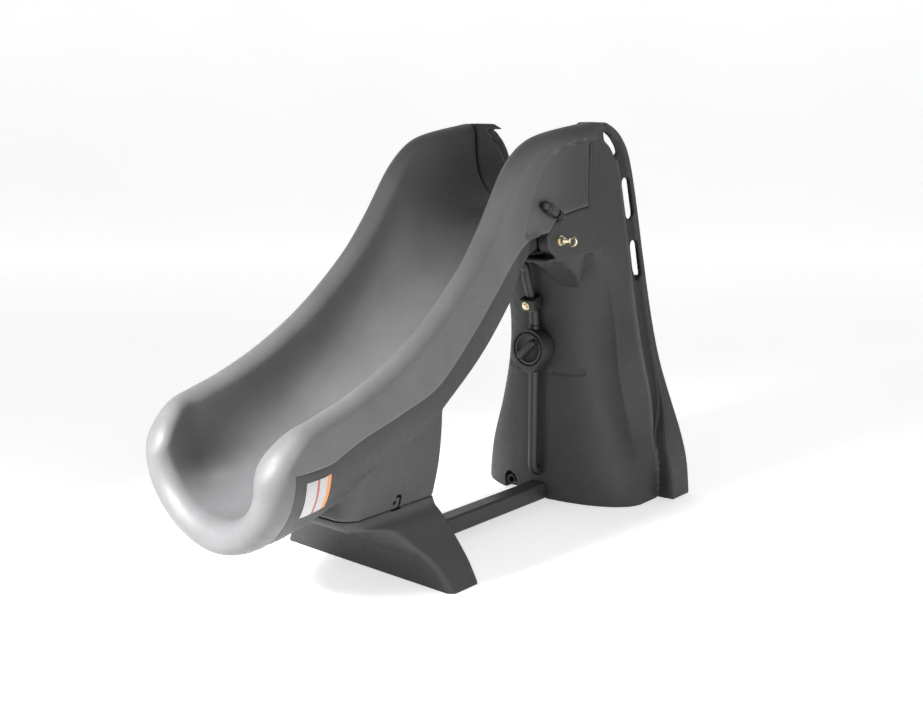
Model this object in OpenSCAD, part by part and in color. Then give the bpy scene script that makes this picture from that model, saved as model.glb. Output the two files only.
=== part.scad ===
// Removable pool slide: a short straight flume carried by a ladder tower at the back and a
// flared foot at the front, tied together along the deck by a square tube.
// The model is in millimetres. +Z is up, -Y is the exit end, +Y is the ladder end.

/* [Flume] */
// Half width over the outside of the exit lip
lip_half_w = 285; // [275:1:295]
// Half width over the flume where it bends over to the seat
bend_half_w = 260; // [255:1:268]
// Height of the flume rim where it meets the tower
rim_top_h = 1268; // [1255:1:1280]
// Half thickness of the rolled rim
rim_r = 36; // [32:1:40]
// Half thickness of the rolled exit lip
lip_r = 49; // [44:1:52]
// Skin thickness of the runway
skin_t = 12; // [10:1:14]
// Width of the flange that stands proud of the lower body
flange_w = 12; // [10:1:14]

/* [Tower] */
// Half width of the rounded front at the deck
tower_base_half_w = 316; // [304:1:320]
// Half width of the rounded front at the waist
tower_waist_half_w = 203; // [194:1:208]
// Half width over the rear flanges at the deck
flange_base_half_w = 371; // [350:1:375]
// Half width over the cheeks at the top
cheek_half_w = 250; // [244:1:254]
// Half width of the ladder well
well_half_w = 168; // [160:1:172]
// Depth of a ladder tread
tread_depth = 120; // [100:5:130]
// Length of a hand slot
hand_slot_l = 136; // [120:1:145]
// Width of a hand slot
hand_slot_w = 34; // [30:1:38]

/* [Foot and tube] */
// Half width of the foot on the deck
foot_half_w = 340; // [320:1:345]
// Height of the joint between the foot and the flume body
foot_top_h = 235; // [225:1:245]
// Outside size of the square tube
tube_w = 58; // [50:1:60]
// Wall of the square tube
tube_wall = 4; // [3:0.5:5]

/* [Water line] */
// Radius of the rigid water pipe
pipe_r = 16.5; // [13:0.5:17]
// Bore radius of the rigid water pipe
pipe_bore_r = 12.5; // [9:0.5:13]
// Height of the valve centre
valve_h = 531; // [500:1:560]
// Radius of the valve housing
valve_r = 66; // [60:1:70]
// Radius of the valve dial
dial_r = 54; // [48:1:56]
// Tilt of the dial grip from upright, in the stored position
grip_tilt = 45; // [0:5:90]
// Bore radius of the hose inlet
inlet_bore_r = 9.5; // [8:0.5:10]

/* [Pivot] */
// Height of the pivot bolts
pivot_h = 915; // [905:1:925]
// Radius of the pivot bolts
pivot_r = 6.35; // [5:0.05:8]

/* [Hidden] */
$fn = 48;

plastic = "#55575a";
pale_plastic = "#9b9da0";
dark_plastic = "#232426";
zinc = "#c9b36a";

// Lengths along Y are counted from the front edge of the foot, then moved to the middle
lip_front = -553;
lip_mid = lip_front + lip_r;
tower_back = 1237;
mid_y = (lip_mid - lip_r * cos(10) + tower_back) / 2;
lip_back = -490;
flume_back = 744;
lip_axis_h = 434;
gap = 0.6;

// Profiles of the flume along Y: height of the rim, the runway floor, the band's lower edge
// and the underside of the body
rim_h = [[lip_front, 458], [-530, 478], [-504, 500], [-485, 518], [-453, 539], [-400, 555], [-286, 589],
    [-142, 651], [12, 744], [176, 884], [263, 988], [352, 1116], [398, 1166], [443, 1200],
    [490, 1222], [570, 1241], [flume_back, rim_top_h]];
floor_h = [[lip_front, 278], [-490, 282], [-300, 328], [-100, 408], [100, 545], [300, 745],
    [400, 860], [500, 948], [600, 985], [flume_back, 1000]];
band_h = [[lip_front, 432], [-490, 434], [-380, 440], [-320, 462], [-270, 480], [-120, 520],
    [20, 566], [150, 668], [265, 775], [365, 873], [430, 922], [500, 938], [545, 946],
    [571, 972], [596, 986], [632, 996], [flume_back, 1014]];
under_h = [[lip_back, 196], [-400, 212], [-300, 245], [-200, 300], [0, 410], [118, 492],
    [240, 577], [330, 656], [412, 738], [450, 792], [500, 843], [540, 866], [flume_back, 872]];
outer_w = [[lip_front, lip_half_w - 20], [-490, lip_half_w - 5], [-400, lip_half_w - 2], [-100, 280],
    [200, 270], [400, bend_half_w], [500, bend_half_w + 4], [flume_back, 276]];
body_w = [[lip_back, lip_half_w - flange_w - 4], [-300, 268], [0, 262], [200, 256], [400, 238],
    [460, 216], [508, 208], [530, 198], [flume_back, 196]];
body_power = [[lip_back, 2.1], [-300, 2.4], [-100, 3.2], [100, 5], [flume_back, 6]];

// Profiles of the tower along Z
front_y = [[0, 848], [60, 842], [400, 838], [600, 832], [700, 818], [780, 796], [840, 772],
    [900, 756], [1000, 745], [rim_top_h, 745]];
front_depth = [[0, 160], [300, 160], [600, 158], [760, 120], [880, 40], [1200, 20], [rim_top_h, 12]];
front_w = [[0, tower_base_half_w], [150, 293], [300, 249], [450, 216], [600, tower_waist_half_w],
    [720, 206], [820, 228], [880, 240], [1000, cheek_half_w - 6], [rim_top_h, cheek_half_w]];
rear_y = [[0, tower_back], [127, 1215], [330, 1175], [620, 1115], [820, 1070], [1087, 1001],
    [1180, 963], [1225, 924], [1250, 886], [rim_top_h, 840]];
rear_w = [[0, flange_base_half_w], [130, 369], [230, 352], [330, 326], [470, 292], [620, 273],
    [820, 262], [1087, cheek_half_w + 6], [rim_top_h, cheek_half_w + 4]];
strip_w = [[0, 122], [200, 116], [400, 92], [600, 80], [1000, 74], [1180, 64], [rim_top_h, 34]];
bead_w = [[0, 116], [200, 108], [330, 56], [450, 32], [600, 24], [1180, 22], [rim_top_h, 12]];
bead_rise = [[0, 64], [200, 50], [330, 24], [450, 14], [rim_top_h, 10]];

// Smooth curve through a short table of [position, value] pairs
function place(tab, x, i = 0) = i >= len(tab) - 2 || x < tab[i + 1][0] ? i : place(tab, x, i + 1);
function rise(tab, i, j) = (tab[j][1] - tab[i][1]) / (tab[j][0] - tab[i][0]);
function slope_at(tab, i) = rise(tab, max(i - 1, 0), min(i + 1, len(tab) - 1));
function curve(tab, x) =
    let (i = place(tab, x), h = tab[i + 1][0] - tab[i][0], t = min(max((x - tab[i][0]) / h, 0), 1))
    (2 * t^3 - 3 * t^2 + 1) * tab[i][1] + (t^3 - 2 * t^2 + t) * h * slope_at(tab, i)
    + (3 * t^2 - 2 * t^3) * tab[i + 1][1] + (t^3 - t^2) * h * slope_at(tab, i + 1);
function steepness(tab, x) = (curve(tab, x + 2) - curve(tab, x - 2)) / 4;
function stretch(tab, x) = sqrt(1 + steepness(tab, x)^2);
function mirror_back(pts) = [for (i = [len(pts) - 1:-1:0]) [-pts[i][0], pts[i][1]]];

// Quarter of a superellipse, from straight below the centre (angle 0) out to the side (90)
function bowl(w, top, bottom, power, from, to, steps) =
    [for (i = [0:steps]) let (a = from + (to - from) * i / steps)
        [w * pow(max(sin(a), 0), 2 / power), top - (top - bottom) * pow(max(cos(a), 0), 2 / power)]];

// End faces of a solid are cut into triangles one ear at a time, because a ring can be U-shaped
function turn(o, a, b) = (a[0] - o[0]) * (b[1] - o[1]) - (a[1] - o[1]) * (b[0] - o[0]);
function ring_area(p, n) = [for (i = 0, s = 0; i <= n; s = s + turn([0, 0], p[i % n], p[(i + 1) % n]),
    i = i + 1) s][n] / 2;
function within(q, a, b, c, way) = way * turn(a, b, q) >= 0 && way * turn(b, c, q) >= 0
    && way * turn(c, a, q) >= 0;
function is_ear(p, left, k, way) =
    let (n = len(left), a = left[(k + n - 1) % n], b = left[k], c = left[(k + 1) % n])
    way * turn(p[a], p[b], p[c]) > 0.001
    && len([for (m = left) if (m != a && m != b && m != c && within(p[m], p[a], p[b], p[c], way)) m]) == 0;
function find_ear(p, left, way, k = 0) = k >= len(left) - 1 || is_ear(p, left, k, way) ? k
    : find_ear(p, left, way, k + 1);
function clip_ears(p, left, way) = len(left) < 4 ? [left]
    : let (n = len(left), k = find_ear(p, left, way))
    concat([[left[(k + n - 1) % n], left[k], left[(k + 1) % n]]],
        clip_ears(p, [for (m = [0:n - 1]) if (m != k) left[m]], way));
function end_face(ring) =
    let (n = len(ring), plan = [for (p = ring) [p[0], p[1]]], side = [for (p = ring) [p[0], p[2]]],
        flat = abs(ring_area(plan, n)) > abs(ring_area(side, n)) ? plan : side)
    clip_ears(flat, [for (i = [0:n - 1]) i], sign(ring_area(flat, n)));

// Solid through a list of rings, each a list of 3-D points in the same order
module skin(rings) {
    n = len(rings[0]);
    last = len(rings) - 1;
    polyhedron(
        points = [for (ring = rings) each ring],
        faces = concat(
            end_face(rings[0]),
            [for (f = end_face(rings[last])) [last * n + f[2], last * n + f[1], last * n + f[0]]],
            [for (r = [0:last - 1], i = [0:n - 1]) let (j = (i + 1) % n)
                [r * n + i, (r + 1) * n + i, (r + 1) * n + j]],
            [for (r = [0:last - 1], i = [0:n - 1]) let (j = (i + 1) % n)
                [r * n + i, (r + 1) * n + j, r * n + j]]
        )
    );
}

module in_row() {
    translate([0, -mid_y, 0])
        children();
}

module both_sides() {
    children();
    mirror([1, 0, 0])
        children();
}

// ---- Flume ----

lip_stations = [for (a = [10:10:90]) lip_mid - lip_r * cos(a)];
run_stations = concat([-460, -430, -400], [for (y = [-350:50:300]) y], [330, 360, 390],
    [for (y = [410:20:590]) y], [630, 680, flume_back]);
shell_stations = concat(lip_stations, [lip_back, lip_back + gap], run_stations);
body_stations = concat([lip_back + 2 * gap], run_stations);

function lip_fade(y) = y < lip_mid ? sqrt(max(1 - ((lip_mid - y) / lip_r)^2, 0)) : 1;
function full_half(y) = y < -420 ? curve([[lip_mid, lip_r], [-420, rim_r]], y) : rim_r;
function rim_half(y) = lip_fade(y) * full_half(y);
function crest_x(y) = curve(outer_w, y) - full_half(y);
function rim_lean(y) = y < -440 ? 1.05 : stretch(rim_h, y);
function rim_rise(y) = rim_half(y) * rim_lean(y);
function rim_base(y) = curve(rim_h, y) - full_half(y) * rim_lean(y);
function low_edge(y) = y <= lip_back ? min(lip_axis_h, rim_base(y) - 4) : curve(band_h, y);
function lip_floor(y) = curve(floor_h, y) - lip_r * (1 - lip_fade(y));
function skin_base(y) = curve(floor_h, y) - skin_t * stretch(floor_h, y);
function inner_x(y) = crest_x(y) - rim_half(y);
// Underside of the runway skin from the band's lower edge to the middle, moved out by grow. Where
// the band hangs below the skin, the underside is flat at the band's edge.
function skin_drop(y) = (rim_base(y) - curve(band_h, y)) / (rim_base(y) - skin_base(y));
function skin_path(y, grow, steps) = skin_drop(y) > 0.97
    ? [for (i = [0:steps]) [(inner_x(y) + skin_t + grow) * (1 - i / steps),
        min(curve(band_h, y), i == 0 ? 2000 : skin_base(y)) - grow]]
    : bowl(inner_x(y) + skin_t + grow, rim_base(y), skin_base(y) - 1.6 * grow, 2.6,
        acos(pow(skin_drop(y), 1.3)), 0, steps);

function inner_power(y) = curve([[lip_front, 2.05], [lip_mid, 2.2], [-380, 2.6], [0, 2.6]], y);
function inner_side(y) = bowl(inner_x(y), rim_base(y), lip_floor(y), inner_power(y), 0, 90, 10);
function rim_arc(y) = [for (b = [20:20:160])
    [crest_x(y) - rim_half(y) * cos(b), rim_base(y) + rim_rise(y) * sin(b)]];
function band_edge(y) = [
    [crest_x(y) + rim_half(y), rim_base(y)],
    [crest_x(y) + rim_half(y), (rim_base(y) + low_edge(y)) / 2]
];
function lip_under(y) = let (pts = bowl(crest_x(y) + rim_half(y), low_edge(y),
    185 + lip_r * (1 - lip_fade(y)), 1.88, 90, 0, 13)) [for (i = [0:12]) pts[i]];
function skin_under(y) = let (pts = skin_path(y, 0, 12))
    concat([[crest_x(y) + rim_half(y), curve(band_h, y)]], [for (i = [0:11]) pts[i]]);
function shell_half(y) = let (low = y <= lip_back ? lip_under(y) : skin_under(y))
    concat([for (i = [1:10]) inner_side(y)[i]], rim_arc(y), band_edge(y), low);
function low_point(y) = y <= lip_back ? [0, 185 + lip_r * (1 - lip_fade(y))] : skin_path(y, 0, 12)[12];
function shell_ring(y) = let (half = shell_half(y))
    [for (p = concat([[0, lip_floor(y)]], half, [low_point(y)], mirror_back(half))) [p[0], y, p[1]]];

// Shallow panel in the flume's side, where the hose coupling lies
panel_x = 250;
module side_panel() {
    translate([panel_x, 0, 0])
        rotate([90, 0, 90])
            linear_extrude(60)
                polygon([[410, 932], [455, 1072], [487, 1128], [540, 1176], [600, 1196], [662, 1210],
                    [750, 1215], [750, 930]]);
}

module flume_shell() {
    color(pale_plastic)
        in_row()
            difference() {
                skin([for (y = shell_stations) shell_ring(y)]);
                both_sides()
                    side_panel();
                translate([0, nozzle_y, 960])
                    cylinder(r = nozzle_r + gap, h = 100);
            }
}

function body_outer(y) = bowl(curve(body_w, y), curve(band_h, y) - top_gap(y), curve(under_h, y),
    curve(body_power, y), 90, 0, 12);
function skin_gap(y) = y > 520 ? 7 : 2;
function top_gap(y) = y > 520 ? 3.5 : gap;
function body_inner(y) = let (pts = skin_path(y, skin_gap(y), 12), top_w = curve(body_w, y) - 3)
    [for (i = [12:-1:0]) [min(pts[i][0], top_w - i), pts[i][1]]];
function body_ring(y) = let (outside = body_outer(y), inside = body_inner(y))
    [for (p = concat([for (i = [0:11]) outside[i]], mirror_back(outside),
        mirror_back([for (i = [1:12]) inside[i]]), inside)) [p[0], y, p[1]]];

pedestal_front = -255;
pedestal_back = 84;
pedestal_half_w = 201;
function rounded_ring(w, y0, y1, front_r, rear_r, z) = [for (c = [[w, y1, 0], [-w, y1, 90],
    [-w, y0, 180], [w, y0, 270]], a = [0:15:90]) let (r = c[1] == y1 ? rear_r : front_r)
        [c[0] - sign(c[0]) * r + r * cos(c[2] + a),
            c[1] - (c[1] == y1 ? r : -r) + r * sin(c[2] + a), z]];

pedestal_w = [[foot_top_h, pedestal_half_w], [330, 226], [440, 246], [560, 254]];
pedestal_rear = [[foot_top_h, pedestal_back], [330, 82], [440, 74], [560, 68]];
neck_rear_r = 14;
module pedestal_block() {
    skin([for (z = [foot_top_h + 1:36:foot_top_h + 330])
        rounded_ring(curve(pedestal_w, z), pedestal_front, curve(pedestal_rear, z), 52,
            neck_rear_r, z)]);
}

// Everything above the underside of the runway and the flange, over the pedestal
module runway_cutter() {
    inside = [for (s = body_stations) if (s > -310 && s < 210) s];
    skin([for (k = [len(inside) - 1:-1:0]) let (y = inside[k], edge = curve(band_h, y) - gap)
        [for (p = concat(mirror_back([for (i = [1:12]) body_inner(y)[i]]), body_inner(y),
            [[330, edge], [330, 900], [-330, 900], [-330, edge]])) [p[0], y, p[1]]]]);
}

module flume_body() {
    color(plastic)
        in_row()
            difference() {
                union() {
                    skin([for (y = body_stations) body_ring(y)]);
                    difference() {
                        pedestal_block();
                        runway_cutter();
                    }
                }
                both_sides()
                    hook_slot();
                foot_tongue(gap * 2);
                pivot_bores();
                translate([0, nozzle_y, 800])
                    cylinder(r = nozzle_r + gap, h = 200);
            }
}

// The foot's tongue goes up into a pocket of the body, and its pins show in the J slots
tongue_half_w = 180;
tongue_top = 272;
module foot_tongue(grow) {
    translate([-tongue_half_w - grow, pedestal_front + 22 - grow, foot_top_h - 5])
        cube([2 * (tongue_half_w + grow), 285 + 2 * grow, tongue_top - foot_top_h + 5 + grow]);
}

hook_y = -62;
// Inverted J in the side of the body: up from the joint, then forward and down onto the screw
module hook_slot() {
    translate([tongue_half_w - 1, hook_y, foot_top_h - 1]) {
        translate([0, -5, 0])
            cube([60, 10, 34]);
        translate([0, -24, 24])
            cube([60, 24, 11]);
        translate([0, -26, 14])
            cube([60, 10, 20]);
    }
}

module hook_screws() {
    color("#a9a9a6")
        in_row()
            both_sides()
                translate([tongue_half_w - 20, hook_y - 21, foot_top_h + 20])
                    rotate([0, 90, 0]) {
                        cylinder(r = 3, h = 38);
                        translate([0, 0, 32])
                            cylinder(r = 4.6, h = 6);
                    }
}

// ---- Foot and tube ----

foot_w = [[0, foot_half_w], [60, 303], [130, 252], [190, 218], [206, 204], [foot_top_h, 201]];
foot_front = [[0, 0], [80, -23], [130, -70], [185, -140], [206, -236], [foot_top_h, pedestal_front]];
foot_back = [[0, 118], [60, 120], [130, 115], [190, 98], [foot_top_h, pedestal_back]];
foot_corner = [[0, 22], [130, 30], [206, 50], [foot_top_h, 52]];
foot_levels = [0, 6, 30, 60, 90, 120, 145, 165, 180, 192, 200, 206, 214, foot_top_h];
tube_front = 20;
tube_back = 1000;

module tube_solid(w, y0, y1, r) {
    translate([0, y1, w / 2])
        rotate([90, 0, 0])
            linear_extrude(y1 - y0)
                union() {
                    square([w, w - 2 * r], center = true);
                    square([w - 2 * r, w], center = true);
                    for (x = [-1, 1], y = [-1, 1])
                        translate([x * (w / 2 - r), y * (w / 2 - r)])
                            circle(r);
                }
}

module tube_socket(y0, y1) {
    translate([-tube_w / 2 - gap, y0, -1])
        cube([tube_w + 2 * gap, y1 - y0, tube_w + gap + 1]);
}

module front_foot() {
    color(plastic)
        in_row()
            difference() {
                union() {
                    skin([for (z = foot_levels)
                        rounded_ring(curve(foot_w, z), curve(foot_front, z), curve(foot_back, z),
                            curve(foot_corner, z), neck_rear_r, z)]);
                    foot_tongue(0);
                }
                both_sides()
                    translate([tongue_half_w - 21, hook_y - 21, foot_top_h + 20])
                        rotate([0, 90, 0])
                            cylinder(r = 3.05, h = 30);
                tube_socket(tube_front - gap, 200);
                both_sides()
                    translate([tongue_half_w + 2, hook_y - 30, foot_top_h - 12])
                        cube([40, 40, 20]);
            }
}

module spine_tube() {
    color(plastic)
        in_row()
            difference() {
                tube_solid(tube_w, tube_front, tube_back, 8);
                translate([0, 0, tube_wall])
                    tube_solid(tube_w - 2 * tube_wall, tube_front - 1, tube_back + 1, 5);
            }
}

// ---- Tower ----

tower_levels = concat([0, 8], [for (z = [30:40:430]) z], [for (z = [480:50:730]) z],
    [for (z = [760:30:880]) z], [920, 980, 1040, 1100, 1150], [for (z = [1180:20:1240]) z],
    [1252, 1262, rim_top_h]);

function tower_half(z) =
    let (yf = curve(front_y, z), yr = curve(rear_y, z), w = curve(front_w, z), rw = curve(rear_w, z),
        d = curve(front_depth, z), strip = yr - curve(strip_w, z), bead = yr - curve(bead_w, z),
        inset = rw - curve(bead_rise, z))
    concat(
        [for (a = [10:10:90]) [w * sin(a), yf + d * (1 - cos(a))]],
        [[max(w, inset + 4), strip - 6], [inset, strip], [inset, bead - 4], [rw - 3, bead],
            [rw, bead + 4], [rw, yr - 8], [rw - 3, yr - 2], [rw - 10, yr]]
    );
function tower_ring(z) = let (half = tower_half(z))
    [for (p = concat([[0, curve(front_y, z)]], half, [[0, curve(rear_y, z)]], mirror_back(half)))
        [p[0], p[1], z]];

well_depth = 190;
deck_h = 1000;
deck_t = 32;
function well_front(z) = curve(rear_y, z) - well_depth;

module ladder_well() {
    levels = [-1, for (z = [80:80:880]) z, deck_h - deck_t];
    skin([for (z = levels)
        [[112, well_front(z), z], [well_half_w, well_front(z) + 64, z], [well_half_w, 1300, z],
            [-well_half_w, 1300, z], [-well_half_w, well_front(z) + 64, z], [-112, well_front(z), z]]]);
}

cheek_inner_w = 196;
module seat_channel() {
    translate([0, 1300, 0])
        rotate([90, 0, 0])
            linear_extrude(700)
                polygon(concat([[0, deck_h]], bowl(cheek_inner_w, 1200, deck_h, 2.6, 10, 90, 9),
                    [[cheek_inner_w, 1400], [-cheek_inner_w, 1400]],
                    mirror_back(bowl(cheek_inner_w, 1200, deck_h, 2.6, 10, 90, 9))));
}

// Slot through a cheek between two points of the side view, each [y, z]
module side_slot(from, to) {
    run = norm(to - from);
    tilt = atan2(to[1] - from[1], to[0] - from[0]);
    translate([150, from[0], from[1]])
        rotate([tilt, 0, 0]) {
            translate([0, 0, -hand_slot_w / 2])
                cube([260, run, hand_slot_w]);
            for (y = [0, run])
                translate([0, y, 0])
                    rotate([0, 90, 0])
                        cylinder(r = hand_slot_w / 2, h = 260);
        }
}

// Behind the ladder well each cheek is only a web with a bead along its edge
rail_web_t = 9;
rail_front = [[770, 82], [1100, 78], [1180, 92], [1250, 96]];
module rail_pocket() {
    skin([for (z = [770:60:1250]) let (y0 = curve(rear_y, z) - curve(rail_front, z),
        x1 = curve(rear_w, z) - curve(bead_rise, z) - rail_web_t)
        [[x1, y0, z], [x1, 1300, z], [150, 1300, z], [150, y0, z]]]);
}

function rear_point(z, inset) = [curve(rear_y, z) - inset, z];
slot_run = (hand_slot_l - hand_slot_w) / 2;
module hand_slots() {
    for (z = [824, 1028])
        side_slot(rear_point(z + slot_run * 0.97, 42), rear_point(z - slot_run * 0.97, 42));
    side_slot([832, 1222], [868, 1203]);
    side_slot([868, 1203], [899, 1168]);
}

ear_mid = [603, 922];
ear_r = 53;
ear_x = [201, 243];
module ear() {
    translate([ear_x[0], 0, 0])
        rotate([90, 0, 90])
            linear_extrude(ear_x[1] - ear_x[0]) {
                translate(ear_mid)
                    circle(ear_r);
                polygon([[590, ear_mid[1] - ear_r + 1], [800, 862], [800, 1000], [700, 998],
                    [630, 986], [600, ear_mid[1] + ear_r - 1]]);
            }
    hull() {
        translate([110, 556, 848])
            cube([ear_x[1] - 111, 230, 14]);
        translate([110, 800, 740])
            cube([70, 10, 10]);
    }
}

module pivot_bores() {
    translate([-300, pivot_y, pivot_h])
        rotate([0, 90, 0])
            cylinder(r = pivot_r + gap / 2, h = 600);
}

inlet_x = -131;
inlet_h = 35;
elbow_h = 100;
module tower_shell() {
    color(plastic)
        in_row()
            difference() {
                union() {
                    skin([for (z = tower_levels) tower_ring(z)]);
                    both_sides()
                        ear();
                }
                ladder_well();
                seat_channel();
                both_sides()
                    rail_pocket();
                both_sides()
                    hand_slots();
                tube_socket(800, tube_back + gap);
                pivot_bores();
                translate([inlet_x, 905, inlet_h])
                    rotate([90, 0, 0])
                        cylinder(r = 33, h = 100);
                translate([inlet_x - 33, 805, -1])
                    cube([66, 100, inlet_h]);
                translate([0, 930, elbow_h])
                    rotate([90, 0, 0])
                        cylinder(r = pipe_r + gap, h = 100);
                for (k = [1:tread_count])
                    tread_block(k, gap / 2);
            }
}

tread_t = 30;
tread_count = 3;
function tread_h(k) = deck_h * k / (tread_count + 1);
module tread_block(k, grow) {
    z = tread_h(k);
    translate([-well_half_w - 12 - grow, well_front(z) + 4 - grow, z - tread_t - grow])
        cube([2 * (well_half_w + 12 + grow), tread_depth + 2 * grow, tread_t + 2 * grow]);
}
module tread(k) {
    color(plastic)
        in_row()
            difference() {
                tread_block(k, 0);
                for (i = [1:6])
                    translate([-well_half_w, well_front(tread_h(k)) + 4 + i * 17, tread_h(k) - 2])
                        cube([2 * well_half_w, 5, 3]);
            }
}
module ladder_tread_1() { tread(1); }
module ladder_tread_2() { tread(2); }
module ladder_tread_3() { tread(3); }

// ---- Pivot hardware ----

pivot_y = 612;
washer_t = 2.5;
nut_t = 11;
thread_end = 276;
eye_r = 12.5;
eye_wire = 4.2;

module pivot_eyebolt() {
    translate([160, pivot_y, pivot_h])
        rotate([0, 90, 0])
            cylinder(r = pivot_r, h = thread_end - 160);
    translate([thread_end + eye_r - 1, pivot_y, pivot_h])
        rotate([90, 0, 0])
            rotate_extrude()
                translate([eye_r, 0])
                    circle(eye_wire);
}
module pivot_eyebolt_right() {
    color(zinc)
        in_row()
            pivot_eyebolt();
}
module pivot_eyebolt_left() {
    color(zinc)
        in_row()
            mirror([1, 0, 0])
                pivot_eyebolt();
}
module pivot_ring(from, thick, r, sides) {
    translate([from, pivot_y, pivot_h])
        rotate([0, 90, 0])
            difference() {
                cylinder(r = r, h = thick, $fn = sides);
                translate([0, 0, -1])
                    cylinder(r = pivot_r + 0.02, h = thick + 2);
            }
}
module pivot_washers() {
    color(zinc)
        in_row()
            both_sides()
                pivot_ring(ear_x[1] + 0.1, washer_t, 16, 48);
}
module pivot_nuts() {
    color(zinc)
        in_row()
            both_sides()
                pivot_ring(ear_x[1] + 0.2 + washer_t, nut_t, 12.2, 6);
}

// ---- Water line ----

pipe_y = 812;
nozzle_y = 712;
nozzle_r = 11;
bend_r = 28;
housing_front = 776;
housing_back = 831.5;
dial_t = 12;
housing_low = valve_h - 80;
neck_top = valve_h + 76;
clamp_mid = [796, 686];
clamp_tilt = 19;
function on_hose(along) = clamp_mid + along * [-sin(clamp_tilt), cos(clamp_tilt)];

module along_y(y0, y1, r) {
    translate([0, y1, 0])
        rotate([90, 0, 0])
            cylinder(r = r, h = y1 - y0);
}

// Round bar through a list of [y, z] points in the middle plane, mitred at each point
function bar_lean(points, i) = let (a = points[max(i - 1, 0)], b = points[min(i + 1, len(points) - 1)])
    atan2(b[0] - a[0], b[1] - a[1]);
module bar(points, r) {
    skin([for (i = [0:len(points) - 1]) let (lean = bar_lean(points, i))
        [for (a = [0:20:340]) [r * cos(a), points[i][0] + r * sin(a) * cos(lean),
            points[i][1] - r * sin(a) * sin(lean)]]]);
}

module inlet_fitting() {
    color(dark_plastic)
        in_row()
            translate([inlet_x, 0, inlet_h])
                difference() {
                    union() {
                        along_y(862, 905, 17);
                        along_y(884, 889, 21);
                    }
                    along_y(861, 895, inlet_bore_r);
                    along_y(861, 868, 13);
                }
}

module inlet_hose_washer() {
    color("#18191a")
        in_row()
            translate([inlet_x, 0, inlet_h])
                difference() {
                    along_y(864.5, 867.8, 12.9);
                    along_y(864, 869, inlet_bore_r + 0.8);
                }
}

module lower_pipe() {
    color(dark_plastic)
        in_row() {
            translate([0, pipe_y, elbow_h + bend_r])
                linear_extrude(housing_low - elbow_h - bend_r)
                    pipe_section();
            translate([0, pipe_y + bend_r, elbow_h + bend_r])
                rotate([90, 0, 90])
                    rotate([0, 0, 180])
                        rotate_extrude(angle = 90)
                            translate([bend_r, 0])
                                pipe_section();
            translate([0, 925, elbow_h])
                rotate([90, 0, 0])
                    linear_extrude(925 - pipe_y - bend_r)
                        pipe_section();
        }
}
module pipe_section() {
    difference() {
        circle(pipe_r);
        circle(pipe_bore_r);
    }
}

module valve_housing() {
    color(dark_plastic)
        in_row()
            difference() {
                union() {
                    translate([0, 0, valve_h])
                        along_y(housing_front, housing_back, valve_r);
                    translate([0, housing_back, 0])
                        rotate([90, 0, 0])
                            linear_extrude(housing_back - housing_front - 6)
                                polygon([[-valve_r * 0.9, valve_h - 28], [-19, housing_low],
                                    [19, housing_low], [valve_r * 0.9, valve_h - 28]]);
                    translate([0, pipe_y, valve_h + 40])
                        cylinder(r = 19, h = 36);
                }
                translate([0, 0, valve_h])
                    along_y(housing_front - 1, housing_front + dial_t + 2, dial_r + 4);
                translate([0, 0, valve_h])
                    along_y(housing_front, housing_front + 40, 8.05);
            }
}

module valve_stem() {
    color(dark_plastic)
        in_row()
            translate([0, 0, valve_h])
                along_y(housing_front + dial_t, housing_front + 39, 8);
}

module valve_dial() {
    color(dark_plastic)
        in_row()
            translate([0, 0, valve_h]) {
                along_y(housing_front, housing_front + dial_t, dial_r);
                rotate([0, grip_tilt, 0])
                    translate([-13, housing_front - 22, -41])
                        cube([26, 22, 82]);
            }
}

module upper_pipe() {
    color(dark_plastic)
        in_row()
            bar([[pipe_y, neck_top], [pipe_y, neck_top + 12], on_hose(-34), on_hose(-22.8)], pipe_r);
}

module clamp_frame() {
    translate([0, clamp_mid[0], clamp_mid[1]])
        rotate([clamp_tilt, 0, 0])
            children();
}

module clamp_saddle() {
    color("#18191a")
        in_row()
            clamp_frame()
                difference() {
                    translate([-29, -30, -21])
                        cube([58, 48, 42]);
                    translate([0, 0, -30])
                        cylinder(r = pipe_r + 0.1, h = 60);
                    translate([-3, 0, 0])
                        along_y(-31, -18.5, 5.1);
                }
}

module clamp_washer() {
    color(zinc)
        in_row()
            clamp_frame()
                translate([-3, 0, 0])
                    difference() {
                        along_y(-32.2, -30.1, 14);
                        along_y(-33, -29, 5.1);
                    }
}

module clamp_bolt() {
    color(zinc)
        in_row()
            clamp_frame()
                translate([-3, 0, 0]) {
                    along_y(-33, -19, 5);
                    translate([0, -32.3, 0])
                        rotate([90, 0, 0])
                            cylinder(r = 9.5, h = 7, $fn = 6);
                }
}

module flume_hose() {
    color(dark_plastic)
        in_row()
            bar([on_hose(-22.5), on_hose(131), [nozzle_y, 841], [nozzle_y, 852]], pipe_r - 1);
}

module hose_tail() {
    color(dark_plastic)
        in_row()
            translate([0, nozzle_y, 852])
                cylinder(r = 17, h = 17);
}

module spray_nozzle() {
    color(dark_plastic)
        in_row()
            translate([0, nozzle_y, 0]) {
                translate([0, 0, 869])
                    cylinder(r = nozzle_r, h = 132);
                translate([0, 0, 1000])
                    cylinder(r1 = 18, r2 = 13, h = 6);
            }
}

// ---- Hose coupling on the right side ----

coupling_start = [500, 1026];
coupling_fall = 25;
coupling_x = 268;
module coupling_frame() {
    translate([coupling_x, coupling_start[0], coupling_start[1]])
        rotate([-90 - coupling_fall, 0, 0])
            children();
}

module coupling_elbow() {
    color(dark_plastic)
        in_row()
            coupling_frame() {
                difference() {
                    sphere(14);
                    translate([0, 0, 7.9])
                        cylinder(r = 20, h = 10);
                }
                cylinder(r = 13, h = 7.9);
                rotate([0, -90, 0])
                    cylinder(r = 7.5, h = 17);
            }
}

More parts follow.
